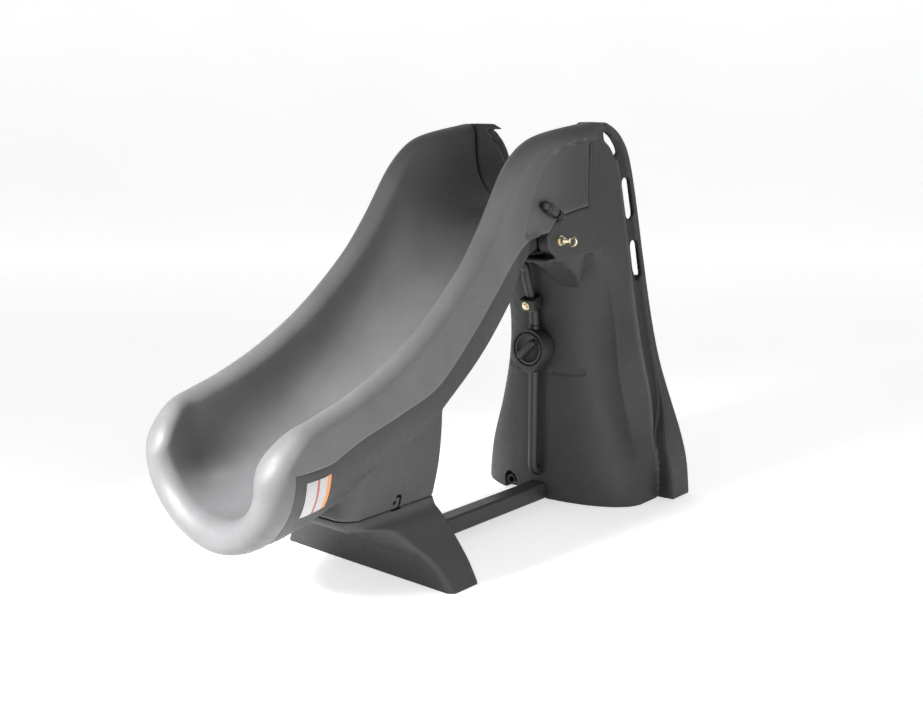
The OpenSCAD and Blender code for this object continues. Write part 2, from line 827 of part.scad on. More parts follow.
module coupling_body() {
    color(dark_plastic)
        in_row()
            coupling_frame() {
                translate([0, 0, 8])
                    cylinder(r = 15, h = 44);
                translate([0, 0, 20])
                    cylinder(r = 16.2, h = 4);
            }
}

module coupling_tail() {
    color(dark_plastic)
        in_row()
            coupling_frame() {
                translate([0, 0, 52])
                    cylinder(r = 9, h = 30);
                translate([0, 0, 82])
                    cylinder(r1 = 13, r2 = 10, h = 12);
            }
}

module coupling_collar() {
    color("#18191a")
        in_row()
            coupling_frame()
                difference() {
                    translate([0, 0, 63])
                        cylinder(r = 14, h = 18.6);
                    translate([0, 0, 60])
                        cylinder(r = 9.05, h = 24);
                }
}

// ---- Safety label ----

label_stations = [-446, -430, -414, -398, -382, -366];
function label_arc(y, off) = bowl(curve(body_w, y) + off, curve(band_h, y), curve(under_h, y) - off,
    curve(body_power, y), 84, 60, 4);
module safety_label() {
    color("#e9e9e6")
        in_row()
            skin([for (y = label_stations)
                [for (p = concat(label_arc(y, 1.4), [for (i = [4:-1:0]) label_arc(y, 0.8)[i]]))
                    [p[0], y, p[1]]]]);
}

flume_shell();
flume_body();
front_foot();
spine_tube();
tower_shell();
ladder_tread_1();
ladder_tread_2();
ladder_tread_3();
pivot_eyebolt_right();
pivot_eyebolt_left();
pivot_nuts();
pivot_washers();
hook_screws();
inlet_fitting();
inlet_hose_washer();
lower_pipe();
valve_housing();
valve_stem();
valve_dial();
upper_pipe();
clamp_saddle();
clamp_bolt();
clamp_washer();
flume_hose();
hose_tail();
spray_nozzle();
coupling_elbow();
coupling_body();
coupling_collar();
coupling_tail();
safety_label();
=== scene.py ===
import math

import bmesh
import bpy
import numpy as np
from mathutils import Matrix, Vector


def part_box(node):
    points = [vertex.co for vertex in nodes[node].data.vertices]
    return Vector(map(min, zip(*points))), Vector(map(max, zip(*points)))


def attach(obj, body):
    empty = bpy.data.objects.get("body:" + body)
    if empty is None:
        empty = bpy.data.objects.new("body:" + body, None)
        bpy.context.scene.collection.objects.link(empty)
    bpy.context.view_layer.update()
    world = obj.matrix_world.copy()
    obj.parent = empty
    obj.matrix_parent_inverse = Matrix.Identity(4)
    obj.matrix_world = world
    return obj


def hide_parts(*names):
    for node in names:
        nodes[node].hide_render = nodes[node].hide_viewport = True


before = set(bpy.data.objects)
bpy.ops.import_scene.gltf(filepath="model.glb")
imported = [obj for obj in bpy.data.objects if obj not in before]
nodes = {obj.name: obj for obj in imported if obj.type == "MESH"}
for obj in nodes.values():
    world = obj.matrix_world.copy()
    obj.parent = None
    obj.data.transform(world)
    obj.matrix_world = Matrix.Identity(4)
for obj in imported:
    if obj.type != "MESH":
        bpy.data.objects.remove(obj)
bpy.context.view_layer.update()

scene = bpy.context.scene

# Profiles below are in millimetres, with Y counted from the front edge of the foot. MID moves
# them to the row frame: the tower's rear edge is at 1237 on that scale.
MM = 0.001
MID = 1237.0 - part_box("tower_shell")[1].y * 1000.0


def pt(x, y, z):
    return (x * MM, (y - MID) * MM, z * MM)


# ---------------------------------------------------------------- camera
AZ, PITCH = math.radians(40.43), math.radians(10.62)
LENS, CAMERA_AT = 43.956, (2224, -2174, 1207)
view_dir = Vector((-math.sin(AZ) * math.cos(PITCH), math.cos(AZ) * math.cos(PITCH), -math.sin(PITCH)))
right = Vector((math.cos(AZ), math.sin(AZ), 0.0))
up = right.cross(view_dir)
cam_data = bpy.data.cameras.new("camera")
cam_data.sensor_width = 36.0
cam_data.lens = LENS
cam_data.clip_end = 200.0
cam = bpy.data.objects.new("camera", cam_data)
scene.collection.objects.link(cam)
turn = Matrix((right, up, -view_dir)).transposed().to_4x4()
cam.matrix_world = Matrix.Translation(pt(*CAMERA_AT)) @ turn
scene.camera = cam


# ---------------------------------------------------------------- profile curves
class Curve:
    """A smooth line through a short table of (position, value) pairs."""

    def __init__(self, tab, soft=8.0):
        x = np.array([t[0] for t in tab], float)
        y = np.array([t[1] for t in tab], float)
        rise = np.diff(y) / np.diff(x)
        slope = np.concatenate([[rise[0]], (y[2:] - y[:-2]) / (x[2:] - x[:-2]), [rise[-1]]])
        self.x = np.arange(x[0], x[-1] + 0.5, 1.0)
        i = np.clip(np.searchsorted(x, self.x, side="right") - 1, 0, len(x) - 2)
        h = x[i + 1] - x[i]
        t = (self.x - x[i]) / h
        v = ((2 * t**3 - 3 * t**2 + 1) * y[i] + (t**3 - 2 * t**2 + t) * h * slope[i]
             + (3 * t**2 - 2 * t**3) * y[i + 1] + (t**3 - t**2) * h * slope[i + 1])
        if soft:
            k = int(soft * 3)
            w = np.exp(-0.5 * (np.arange(-k, k + 1) / soft) ** 2)
            w /= w.sum()
            lead = 2 * v[0] - v[1:k + 1][::-1]
            tail = 2 * v[-1] - v[-k - 1:-1][::-1]
            v = np.convolve(np.concatenate([lead, v, tail]), w, mode="valid")
        self.y = v

    def __call__(self, p):
        return float(np.interp(p, self.x, self.y))

    def slope(self, p):
        return (self(p + 3) - self(p - 3)) / 6.0


def bowl(w, top, bottom, power, a0, a1, steps):
    """Quarter of a superellipse, from straight below the centre (0) out to the side (90)."""
    a = np.radians(np.linspace(a0, a1, steps + 1))
    s, c = np.maximum(np.sin(a), 0), np.maximum(np.cos(a), 0)
    return [(w * p, top - (top - bottom) * q) for p, q in zip(s ** (2 / power), c ** (2 / power))]


# ---------------------------------------------------------------- mesh helpers
def new_object(name, verts, faces, sharp=None):
    me = bpy.data.meshes.new(name)
    me.from_pydata([tuple(v) for v in verts], [], faces)
    me.update()
    ob = bpy.data.objects.new(name, me)
    scene.collection.objects.link(ob)
    shade(ob, sharp)
    return ob


def shade(ob, sharp=None):
    """Smooth shading, with the edges over the angle given in degrees kept sharp."""
    me = ob.data
    me.polygons.foreach_set("use_smooth", [True] * len(me.polygons))
    if sharp is not None:
        bm = bmesh.new()
        bm.from_mesh(me)
        for e in bm.edges:
            e.smooth = not (len(e.link_faces) == 2 and e.calc_face_angle(0) > math.radians(sharp))
        bm.to_mesh(me)
        bm.free()
    me.update()


def outward(ob):
    bm = bmesh.new()
    bm.from_mesh(ob.data)
    bmesh.ops.recalc_face_normals(bm, faces=bm.faces)
    bm.to_mesh(ob.data)
    bm.free()


def loft(name, rings, sharp=None):
    """Closed solid through rings of points in millimetres, each in the same order."""
    n = len(rings[0])
    verts = [pt(*p) for ring in rings for p in ring]
    faces = []
    for r in range(len(rings) - 1):
        for i in range(n):
            j = (i + 1) % n
            faces.append((r * n + i, (r + 1) * n + i, (r + 1) * n + j, r * n + j))
    faces.append(tuple(range(n))[::-1])
    faces.append(tuple((len(rings) - 1) * n + i for i in range(n)))
    ob = new_object(name, verts, faces, sharp)
    outward(ob)
    return ob


def bake(ob):
    """Replaces an object's mesh with the result of its modifiers."""
    dg = bpy.context.evaluated_depsgraph_get()
    me = bpy.data.meshes.new_from_object(ob.evaluated_get(dg))
    ob.modifiers.clear()
    ob.data = me
    return ob


def cut(ob, others, operation="DIFFERENCE"):
    for other in others:
        m = ob.modifiers.new("cut", "BOOLEAN")
        m.operation, m.solver, m.object = operation, "EXACT", other
        bake(ob)
        bpy.data.objects.remove(other)
    return ob


def voxel_smooth(ob, size, rounds):
    """Welds a shape into one moulded skin and rounds its edges a little."""
    m = ob.modifiers.new("remesh", "REMESH")
    m.mode, m.voxel_size = "VOXEL", size
    s = ob.modifiers.new("smooth", "SMOOTH")
    s.factor, s.iterations = 0.5, rounds
    bake(ob)
    shade(ob)
    return ob


def box_mesh(name, lo, hi):
    x0, y0, z0 = lo
    x1, y1, z1 = hi
    v = [pt(x, y, z) for z in (z0, z1) for x, y in ((x0, y0), (x1, y0), (x1, y1), (x0, y1))]
    f = [(0, 3, 2, 1), (4, 5, 6, 7), (0, 1, 5, 4), (1, 2, 6, 5), (2, 3, 7, 6), (3, 0, 4, 7)]
    return new_object(name, v, f)


def prism_x(name, outline, x0, x1):
    """Solid of a side outline of (y, z) points between two x planes."""
    n = len(outline)
    v = [pt(x, y, z) for x in (x0, x1) for y, z in outline]
    f = [tuple(range(n))[::-1], tuple(range(n, 2 * n))]
    f += [(i, (i + 1) % n, n + (i + 1) % n, n + i) for i in range(n)]
    ob = new_object(name, v, f)
    outward(ob)
    return ob


def prism_y(name, outline, y0, y1):
    """Solid of a front outline of (x, z) points between two y planes."""
    n = len(outline)
    v = [pt(x, y, z) for y in (y0, y1) for x, z in outline]
    f = [tuple(range(n)), tuple(range(n, 2 * n))[::-1]]
    f += [(i, (i + 1) % n, n + (i + 1) % n, n + i) for i in range(n)]
    ob = new_object(name, v, f)
    outward(ob)
    return ob


def capsule(a, b, r, steps=10):
    """Outline of a slot between two points, with round ends."""
    t0 = math.atan2(b[1] - a[1], b[0] - a[0])
    out = []
    for c, start in ((b, t0 - math.pi / 2), (a, t0 + math.pi / 2)):
        for k in range(steps + 1):
            t = start + math.pi * k / steps
            out.append((c[0] + r * math.cos(t), c[1] + r * math.sin(t)))
    return out


def stroke(points, r):
    """Outline of a line of constant half width through points."""
    left, right_side = [], []
    for i, (y, z) in enumerate(points):
        a, b = points[max(i - 1, 0)], points[min(i + 1, len(points) - 1)]
        t = math.atan2(b[1] - a[1], b[0] - a[0])
        left.append((y - r * math.sin(t), z + r * math.cos(t)))
        right_side.append((y + r * math.sin(t), z - r * math.cos(t)))
    return left + right_side[::-1]


def lathe(name, profile, matrix, segments=48, sharp=30):
    """Turned piece: profile of (radius, height) in millimetres, placed by matrix (metres)."""
    v, f = [], []
    n = len(profile)
    for k in range(segments):
        a = 2 * math.pi * k / segments
        v += [(r * math.cos(a) * MM, r * math.sin(a) * MM, h * MM) for r, h in profile]
    for k in range(segments):
        q = (k + 1) % segments
        f += [(k * n + i, q * n + i, q * n + i + 1, k * n + i + 1) for i in range(n - 1)]
    ob = new_object(name, v, f)
    bm = bmesh.new()
    bm.from_mesh(ob.data)
    bmesh.ops.remove_doubles(bm, verts=bm.verts, dist=1e-7)
    holes = [e for e in bm.edges if e.is_boundary]
    if holes:
        bmesh.ops.holes_fill(bm, edges=holes)
    bmesh.ops.recalc_face_normals(bm, faces=bm.faces)
    bm.to_mesh(ob.data)
    bm.free()
    ob.data.transform(matrix)
    shade(ob, sharp)
    return ob


def bevel(ob, width, segments=3, angle=35):
    m = ob.modifiers.new("bevel", "BEVEL")
    m.width, m.segments, m.limit_method = width, segments, "ANGLE"
    m.angle_limit = math.radians(angle)
    bake(ob)
    shade(ob, 40)
    return ob


def clamp_to_cad(ob, node):
    """Holds a piece inside the box of the CAD node that it stands for."""
    lo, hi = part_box(node)
    co = np.empty(len(ob.data.vertices) * 3)
    ob.data.vertices.foreach_get("co", co)
    co = np.clip(co.reshape(-1, 3), np.array(lo), np.array(hi))
    ob.data.vertices.foreach_set("co", co.ravel())
    ob.data.update()
    return ob


# ---------------------------------------------------------------- materials
def material(name, build):
    mat = bpy.data.materials.new(name)
    mat.use_nodes = True
    tree = mat.node_tree
    tree.nodes.clear()
    out = tree.nodes.new("ShaderNodeOutputMaterial")
    bsdf = tree.nodes.new("ShaderNodeBsdfPrincipled")
    tree.links.new(bsdf.outputs[0], out.inputs[0])
    build(tree, bsdf)
    return mat


def add(tree, kind, **values):
    node = tree.nodes.new(kind)
    for key, value in values.items():
        if key.startswith("in_"):
            node.inputs[int(key[3:])].default_value = value
        else:
            setattr(node, key, value)
    return node


def moulded(name, colour, rough=0.5, grain=0.35, wear=0.35, specular=0.5, painted_falloff=None, with_painted_light=False):
    """Rotomoulded plastic: mottled colour, fine grain, paler worn edges, and painted shade that darkens the
    colour in sheltered places.

    Its front-to-back argument is (front Y, back Y, share of the colour left at the back): painted shade that
    darkens the colour towards the back, where less light falls."""

    def build(tree, bsdf):
        link = tree.links.new
        where = add(tree, "ShaderNodeTexCoord")
        cloud = add(tree, "ShaderNodeTexNoise")
        cloud.inputs["Scale"].default_value = 5.0
        cloud.inputs["Detail"].default_value = 6.0
        cloud.inputs["Roughness"].default_value = 0.6
        speck = add(tree, "ShaderNodeTexNoise")
        speck.inputs["Scale"].default_value = 420.0
        speck.inputs["Detail"].default_value = 3.0
        speck.inputs["Roughness"].default_value = 0.65
        scuff = add(tree, "ShaderNodeTexNoise")
        scuff.inputs["Scale"].default_value = 46.0
        scuff.inputs["Detail"].default_value = 5.0
        for n in (cloud, speck, scuff):
            link(where.outputs["Object"], n.inputs["Vector"])
        tone = add(tree, "ShaderNodeMapRange", in_1=0.3, in_2=0.7, in_3=0.88, in_4=1.12)
        link(cloud.outputs["Fac"], tone.inputs[0])
        fleck = add(tree, "ShaderNodeMapRange", in_1=0.3, in_2=0.7, in_3=0.86, in_4=1.16)
        link(speck.outputs["Fac"], fleck.inputs[0])
        both = add(tree, "ShaderNodeMath", operation="MULTIPLY")
        link(tone.outputs[0], both.inputs[0])
        link(fleck.outputs[0], both.inputs[1])
        # Painted shade: the base colour is darkened where the ambient-occlusion node finds nearby surfaces,
        # as under the flume and in recesses
        shelter = add(tree, "ShaderNodeAmbientOcclusion", samples=6)
        shelter.inputs["Distance"].default_value = 0.5
        painted_shade = add(tree, "ShaderNodeMapRange", in_1=0.14, in_2=0.52, in_3=0.2, in_4=1.0)
        link(shelter.outputs["AO"], painted_shade.inputs[0])
        shaded_tone = add(tree, "ShaderNodeMath", operation="MULTIPLY")
        link(both.outputs[0], shaded_tone.inputs[0])
        link(painted_shade.outputs[0], shaded_tone.inputs[1])
        both = shaded_tone
        # Painted shade and painted highlight from a point attribute: darker recessed strips and slots, a
        # lighter ridge
        if with_painted_light:
            mark = add(tree, "ShaderNodeAttribute", attribute_name="tint")
            marked = add(tree, "ShaderNodeMath", operation="MULTIPLY")
            link(both.outputs[0], marked.inputs[0])
            link(mark.outputs["Fac"], marked.inputs[1])
            both = marked
        # Painted shade: the colour darkens from the front Y to the back Y, where less light falls
        if painted_falloff:
            sep = add(tree, "ShaderNodeSeparateXYZ")
            link(where.outputs["Object"], sep.inputs[0])
            less = add(tree, "ShaderNodeMapRange", in_1=painted_falloff[0], in_2=painted_falloff[1], in_3=1.0, in_4=painted_falloff[2])
            link(sep.outputs["Y"], less.inputs[0])
            falloff_shaded = add(tree, "ShaderNodeMath", operation="MULTIPLY")
            link(both.outputs[0], falloff_shaded.inputs[0])
            link(less.outputs[0], falloff_shaded.inputs[1])
            both = falloff_shaded
        geo = add(tree, "ShaderNodeNewGeometry")
        edge = add(tree, "ShaderNodeMapRange", in_1=0.515, in_2=0.60, in_3=0.0, in_4=wear)
        link(geo.outputs["Pointiness"], edge.inputs[0])
        rub = add(tree, "ShaderNodeMath", operation="MULTIPLY")
        link(edge.outputs[0], rub.inputs[0])
        link(scuff.outputs["Fac"], rub.inputs[1])
        base = add(tree, "ShaderNodeVectorMath", operation="SCALE")
        base.inputs[0].default_value = colour
        link(both.outputs[0], base.inputs["Scale"])
        mix = add(tree, "ShaderNodeMix", data_type="RGBA")
        pale = [min(1.0, c * (1.9 if painted_falloff else 2.6) + 0.01) for c in colour]
        mix.inputs["B"].default_value = (*pale, 1.0)
        link(rub.outputs[0], mix.inputs["Factor"])
        link(base.outputs[0], mix.inputs["A"])
        link(mix.outputs["Result"], bsdf.inputs["Base Color"])
        shine = add(tree, "ShaderNodeMapRange", in_1=0.3, in_2=0.7, in_3=rough - 0.06, in_4=rough + 0.07)
        link(scuff.outputs["Fac"], shine.inputs[0])
        link(shine.outputs[0], bsdf.inputs["Roughness"])
        bump = add(tree, "ShaderNodeBump")
        bump.inputs["Strength"].default_value = grain
        bump.inputs["Distance"].default_value = 0.0006
        link(speck.outputs["Fac"], bump.inputs["Height"])
        link(bump.outputs[0], bsdf.inputs["Normal"])
        bsdf.inputs["Specular IOR Level"].default_value = specular

    return material(name, build)


def metal(name, colour, rough=0.32, spread=0.12, tint=None):
    """Plated steel: uneven plating colour, streaked roughness, small pits."""

    def build(tree, bsdf):
        link = tree.links.new
        where = add(tree, "ShaderNodeTexCoord")
        cloud = add(tree, "ShaderNodeTexNoise")
        cloud.inputs["Scale"].default_value = 160.0
        cloud.inputs["Detail"].default_value = 4.0
        fine = add(tree, "ShaderNodeTexNoise")
        fine.inputs["Scale"].default_value = 1400.0
        link(where.outputs["Object"], cloud.inputs["Vector"])
        link(where.outputs["Object"], fine.inputs["Vector"])
        mix = add(tree, "ShaderNodeMix", data_type="RGBA")
        mix.inputs["A"].default_value = (*colour, 1.0)
        mix.inputs["B"].default_value = (*(tint or [c * 0.7 for c in colour]), 1.0)
        link(cloud.outputs["Fac"], mix.inputs["Factor"])
        link(mix.outputs["Result"], bsdf.inputs["Base Color"])
        shine = add(tree, "ShaderNodeMapRange", in_1=0.3, in_2=0.7, in_3=rough - spread, in_4=rough + spread)
        link(cloud.outputs["Fac"], shine.inputs[0])
        link(shine.outputs[0], bsdf.inputs["Roughness"])
        bump = add(tree, "ShaderNodeBump")
        bump.inputs["Strength"].default_value = 0.25
        bump.inputs["Distance"].default_value = 0.0002
        link(fine.outputs["Fac"], bump.inputs["Height"])
        link(bump.outputs[0], bsdf.inputs["Normal"])
        bsdf.inputs["Metallic"].default_value = 1.0

    return material(name, build)


GRAPHITE = (0.040, 0.0405, 0.0415)
# The flume's colour is darkened towards the back as painted shade
flume_mat = moulded("flume_plastic", (0.118, 0.119, 0.121), rough=0.48, grain=0.45, specular=0.35,
                     painted_falloff=(-0.02, 0.33, 0.38))
body_mat = moulded("body_plastic", (0.048, 0.0485, 0.0495), rough=0.52, specular=0.3)
# The tower's colour carries painted shade in its strips and slots and a painted highlight on the ridge
tower_mat = moulded("tower_plastic", GRAPHITE, rough=0.52, specular=0.3, with_painted_light=True)
foot_mat = moulded("foot_plastic", (0.046, 0.0465, 0.0475), rough=0.52, specular=0.25)
tread_mat = moulded("tread_plastic", (0.035, 0.0355, 0.0365), rough=0.55, grain=0.6, specular=0.3)
tube_mat = moulded("tube_coating", (0.03, 0.0305, 0.0315), rough=0.42, grain=0.25, specular=0.35)
pipe_mat = moulded("pipe_plastic", (0.026, 0.0265, 0.027), rough=0.4, grain=0.15, wear=0.2)
valve_mat = moulded("valve_plastic", (0.022, 0.0225, 0.023), rough=0.42, grain=0.2, wear=0.25)
black_mat = moulded("black_plastic", (0.012, 0.012, 0.013), rough=0.42, grain=0.2, wear=0.2)
rubber_mat = moulded("rubber", (0.01, 0.01, 0.01), rough=0.7, grain=0.4, wear=0.1)
zinc_mat = metal("zinc_plate", (0.78, 0.68, 0.46), tint=(0.62, 0.55, 0.42))
screw_mat = metal("bare_screw", (0.72, 0.71, 0.69))

# ---------------------------------------------------------------- flume
RIM_R, LIP_R, SKIN_T = 36.0, 49.0, 12.0
LIP_FRONT, LIP_BACK, LIP_AXIS, FLUME_BACK = -553.0, -490.0, 434.0, 744.0
LIP_MID = LIP_FRONT + LIP_R
rim_h = Curve([(-553, 458), (-530, 478), (-504, 500), (-485, 518), (-453, 539), (-400, 555),
               (-286, 589), (-142, 651), (12, 744), (176, 884), (263, 988), (352, 1116),
               (398, 1166), (443, 1200), (490, 1222), (570, 1241), (744, 1268)], 9)
floor_h = Curve([(-553, 278), (-490, 282), (-300, 328), (-100, 408), (100, 545), (300, 745), (400, 860),
                 (500, 948), (600, 985), (744, 1000)], 24)
band_h = Curve([(-553, 432), (-490, 434), (-380, 440), (-320, 462), (-270, 480), (-120, 520), (20, 566),
                (150, 668), (265, 775), (365, 873), (430, 922), (500, 938), (545, 946), (571, 972),
                (596, 986), (632, 996), (744, 1014)], 5)
under_h = Curve([(-490, 196), (-400, 212), (-300, 245), (-200, 300), (0, 410), (118, 492), (240, 577),
                 (330, 656), (412, 738), (450, 792), (500, 843), (540, 866), (744, 872)], 14)
outer_w = Curve([(-553, 265), (-490, 280), (-400, 283), (-100, 280), (200, 270), (400, 260), (500, 264),
                 (744, 276)], 16)
body_w = Curve([(-490, 269), (-300, 268), (0, 262), (200, 256), (400, 238), (460, 216), (508, 208),
                (530, 198), (744, 196)], 8)
body_power = Curve([(-490, 2.1), (-300, 2.4), (-100, 3.2), (100, 5), (744, 6)], 20)
inner_pow = Curve([(-553, 2.05), (-504, 2.2), (-380, 2.6), (0, 2.6), (744, 2.6)], 20)
half_tab = Curve([(-553, LIP_R), (-504, LIP_R), (-420, RIM_R), (-380, RIM_R), (744, RIM_R)], 8)


def lip_fade(y):
    return math.sqrt(max(1 - ((LIP_MID - y) / LIP_R) ** 2, 0)) if y < LIP_MID else 1.0


def rim_half(y):
    return lip_fade(y) * half_tab(y)


def rim_lean(y):
    steep = math.sqrt(1 + rim_h.slope(y) ** 2)
    t = min(max((y + 460) / 60, 0), 1)
    t = t * t * (3 - 2 * t)
    return 1.05 + (steep - 1.05) * t


def rim_base(y):
    return rim_h(y) - half_tab(y) * rim_lean(y)


def low_edge(y):
    return band_h(y) if y > LIP_BACK else min(LIP_AXIS, rim_base(y) - 4)


def crest_x(y):
    return outer_w(y) - half_tab(y)


def lip_floor(y):
    return floor_h(y) - LIP_R * (1 - lip_fade(y))


def skin_base(y):
    return floor_h(y) - SKIN_T * math.sqrt(1 + floor_h.slope(y) ** 2)


def skin_path(y, grow, steps):
    wide = crest_x(y) - rim_half(y) + SKIN_T + grow
    drop = (rim_base(y) - band_h(y)) / (rim_base(y) - skin_base(y))
    if drop > 0.97:
        return [(wide * (1 - i / steps), min(band_h(y), 2000 if i == 0 else skin_base(y)) - grow)
                for i in range(steps + 1)]
    return bowl(wide, rim_base(y), skin_base(y) - 1.6 * grow, 2.6,
                math.degrees(math.acos(drop ** 1.3)), 0, steps)


def shell_half(y):
    half, base, cx = rim_half(y), rim_base(y), crest_x(y)
    inner = bowl(cx - half, base, lip_floor(y), inner_pow(y), 0, 90, 44)[1:]
    arc = [(cx - half * math.cos(math.radians(b)), base + half * rim_lean(y) * math.sin(math.radians(b)))
           for b in np.linspace(8, 172, 22)]
    edge = low_edge(y)
    face = [(cx + half, base + (edge - base) * t) for t in np.linspace(0, 0.94, 30)]
    if y <= LIP_BACK:
        low = bowl(cx + half, edge, 185 + LIP_R * (1 - lip_fade(y)), 1.88, 90, 0, 40)
        last = low.pop()
    else:
        pts = skin_path(y, 0, 36)
        low = [(cx + half - 1.2, edge + 1.2), (cx + half - 5, edge), (cx + half - 9, edge)]
        low += [(cx + half - 9 + (pts[0][0] - cx - half + 9) * 0.5, edge)] + pts[:-1]
        last = pts[-1]
    return inner + arc + face + low, last


def shell_ring(y):
    half, last = shell_half(y)
    full = [(0.0, lip_floor(y))] + half + [last] + [(-x, z) for x, z in half[::-1]]
    return [(x, y, z) for x, z in full]


lip_angles = (10, 14, 19, 25, 31, 38, 45, 52, 59, 66, 73, 81, 89)
stations = [LIP_MID - LIP_R * math.cos(math.radians(a)) for a in lip_angles]
stations += [-500, -495, LIP_BACK - 2.5, LIP_BACK - 0.4, LIP_BACK]
back_part = [LIP_BACK + 0.5, -486, -480, -473, -465]
back_part += list(np.arange(-457, 739, 6.0)) + [FLUME_BACK]
flume = loft("flume_runway", [shell_ring(y) for y in stations + back_part])


# Shallow panel in each side, where the hose coupling lies
PANEL = [(412, 934), (455, 1072), (487, 1128), (540, 1176), (600, 1196), (662, 1210), (760, 1215), (760, 930)]


def inside_depth(y, z, poly):
    """How far a point lies inside a closed outline, or 0 outside it."""
    n, inside, near = len(poly), False, 1e9
    for i in range(n):
        (ay, az), (by, bz) = poly[i], poly[(i + 1) % n]
        if (az > z) != (bz > z) and y < (by - ay) * (z - az) / (bz - az) + ay:
            inside = not inside
        t = max(0, min(1, ((y - ay) * (by - ay) + (z - az) * (bz - az)) / ((by - ay) ** 2 + (bz - az) ** 2)))
        near = min(near, math.hypot(y - ay - t * (by - ay), z - az - t * (bz - az)))
    return near if inside else 0.0


for v in flume.data.vertices:
    y, z, x = v.co.y / MM + MID, v.co.z / MM, v.co.x / MM
    if abs(x) > 250 and y > 405 and z > 900:
        d = inside_depth(y, z, PANEL) / 7.0
        d = min(d, 1.0)
        d = d * d * (3 - 2 * d)
        v.co.x = math.copysign((abs(x) + (250 - abs(x)) * d) * MM, x)
shade(flume, 50)
clamp_to_cad(flume, "flume_shell")


def body_outer(y, steps=40):
    return bowl(body_w(y), band_h(y) - (3.5 if y > 520 else 0.6), under_h(y), body_power(y), 90, 0, steps)


def body_inner(y, steps=24):
    pts, top = skin_path(y, 6 if y > 520 else 1, steps), body_w(y) - 3
    return [(min(pts[i][0], top - i * 0.5), pts[i][1]) for i in range(steps, -1, -1)]


def mirrored(pts):
    return [(-x, z) for x, z in pts[::-1]]


def body_ring(y):
    outside, inside = body_outer(y), body_inner(y)
    full = outside[:-1] + mirrored(outside) + mirrored(inside[1:]) + inside
    return [(x, y, z) for x, z in full]


body_stations = [LIP_BACK + 1.2, -480] + list(np.arange(-470, 740, 10.0)) + [FLUME_BACK]
body = loft("flume_underbody", [body_ring(y) for y in body_stations])

ped_w = Curve([(235, 201), (330, 226), (440, 246), (560, 254)], 12)
ped_back = Curve([(235, 84), (330, 82), (440, 74), (560, 68)], 12)


def rounded_ring(w, y0, y1, front_r, rear_r, z, steps=10):
    out = []
    f, b = front_r, rear_r
    for cx, cy, a0, r in ((w - b, y1 - b, 0, b), (-w + b, y1 - b, 90, b), (-w + f, y0 + f, 180, f),
                          (w - f, y0 + f, 270, f)):
        for a in np.linspace(a0, a0 + 90, steps + 1):
            out.append((cx + r * math.cos(math.radians(a)), cy + r * math.sin(math.radians(a)), z))
    return out


pedestal = loft("pedestal", [rounded_ring(ped_w(z), -255, ped_back(z), 52, 14, z)
                             for z in np.arange(236, 560, 9.0)])
cutter_rings = []
for y in np.arange(-330, 230, 10.0):
    edge = band_h(y) - 0.6
    full = mirrored(body_inner(y)[1:]) + body_inner(y) + [(330, edge), (330, 900), (-330, 900), (-330, edge)]
    cutter_rings.append([(x, y, z) for x, z in full])
cut(pedestal, [loft("runway_cutter", cutter_rings)])
cut(body, [pedestal], "UNION")
voxel_smooth(body, 0.0042, 7)
flat = body.data
for v in flat.vertices:
    if abs(v.co.z - 0.236) < 0.0025 and v.co.y < 0.1:
        v.co.z = 0.236
tools = [box_mesh("pocket", (-181.2, -234, 229), (181.2, 54, 273))]
for side in (-1, 1):
    x0, x1 = sorted((183 * side, 243 * side))
    hook = [(-62, 229), (-62, 264), (-64, 270), (-69, 273.5), (-75, 272.5), (-79, 269)]
    tools.append(prism_x("hook_slot", stroke(hook, 4.4), x0, x1))
    tools.append(prism_x("screw_hole", capsule((-83, 253), (-83, 257), 5.4), x0, x1))
cut(body, tools)
shade(body, 50)
clamp_to_cad(body, "flume_body")

# ---------------------------------------------------------------- foot
foot_w = Curve([(0, 340), (60, 303), (130, 252), (190, 218), (206, 204), (235, 201)], 5)
foot_front = Curve([(0, 0), (80, -23), (130, -70), (185, -140), (206, -236), (235, -255)], 4)
foot_back = Curve([(0, 118), (60, 120), (130, 115), (190, 98), (235, 84)], 8)
foot_corner = Curve([(0, 22), (130, 30), (206, 50), (235, 52)], 5)
foot = loft("front_foot_moulding",
            [rounded_ring(foot_w(z), foot_front(z), foot_back(z), foot_corner(z), 14, z)
             for z in list(np.arange(0, 235, 4.0)) + [235]])
cut(foot, [box_mesh("tongue", (-180, -233, 200), (180, 52, 272))], "UNION")
voxel_smooth(foot, 0.0036, 5)
for v in foot.data.vertices:
    v.co.z = max(v.co.z, 0.0)
foot_cuts = [box_mesh("tube_socket", (-29.6, 19.4, -5), (29.6, 200, 58.6))]
for s in (-1, 1):
    x0, x1 = sorted((182 * s, 222 * s))
    foot_cuts.append(box_mesh("relief", (x0, -91, 230), (x1, -54, 250)))
cut(foot, foot_cuts)
shade(foot, 50)
clamp_to_cad(foot, "front_foot")

# ---------------------------------------------------------------- tower
front_y = Curve([(0, 848), (60, 842), (400, 838), (600, 832), (700, 818), (780, 796), (840, 772), (900, 756),
                 (1000, 745), (1268, 745)], 9)
front_depth = Curve([(0, 160), (300, 160), (600, 158), (760, 120), (880, 40), (1200, 20), (1268, 12)], 9)
front_w = Curve([(0, 316), (150, 293), (300, 249), (450, 216), (600, 203), (720, 206), (820, 228), (880, 240),
                 (1000, 244), (1268, 250)], 14)
rear_y = Curve([(0, 1237), (127, 1215), (330, 1175), (620, 1115), (820, 1070), (1087, 1001), (1180, 963),
                (1225, 924), (1250, 886), (1268, 840)], 6)
rear_w = Curve([(0, 371), (130, 369), (230, 352), (330, 326), (470, 292), (620, 273), (820, 262),
                (1087, 256), (1268, 254)], 14)
strip_w = Curve([(0, 122), (200, 116), (400, 92), (600, 80), (1000, 74), (1180, 64), (1268, 34)], 14)
